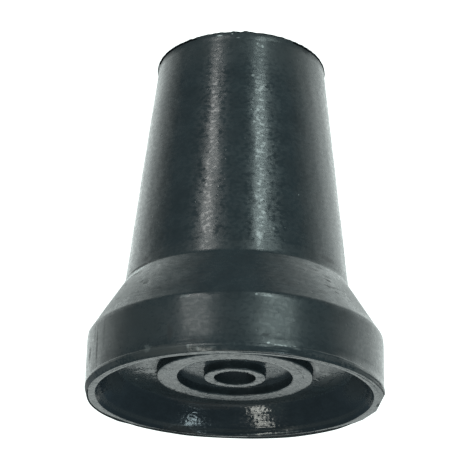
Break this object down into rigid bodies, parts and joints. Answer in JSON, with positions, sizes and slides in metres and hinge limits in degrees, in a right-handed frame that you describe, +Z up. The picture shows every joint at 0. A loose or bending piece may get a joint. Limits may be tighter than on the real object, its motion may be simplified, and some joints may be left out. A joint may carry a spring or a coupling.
{
  "type": "rubber cane tip",
  "caption": "Rubber cane tip: tapered sleeve with a blind socket for the shaft, flared shoulder, broad band, and a cupped tread with a raised ring and a centre boss.",
  "frame": {"origin": "centre of the rim's face, the plane on which the tip stands", "axes": "+Z up the cane's axis, from the rim to the mouth of the socket; the tip is a body of revolution, so X and Y are any two directions across it"},
  "size_m": [0.0504, 0.0504, 0.0616],
  "materials": {
    "rubber": "moulded black rubber with a soft sheen"
  },
  "bodies": {
    "root": {"rubber_tip": "rubber"}
  },
  "joints": []
}
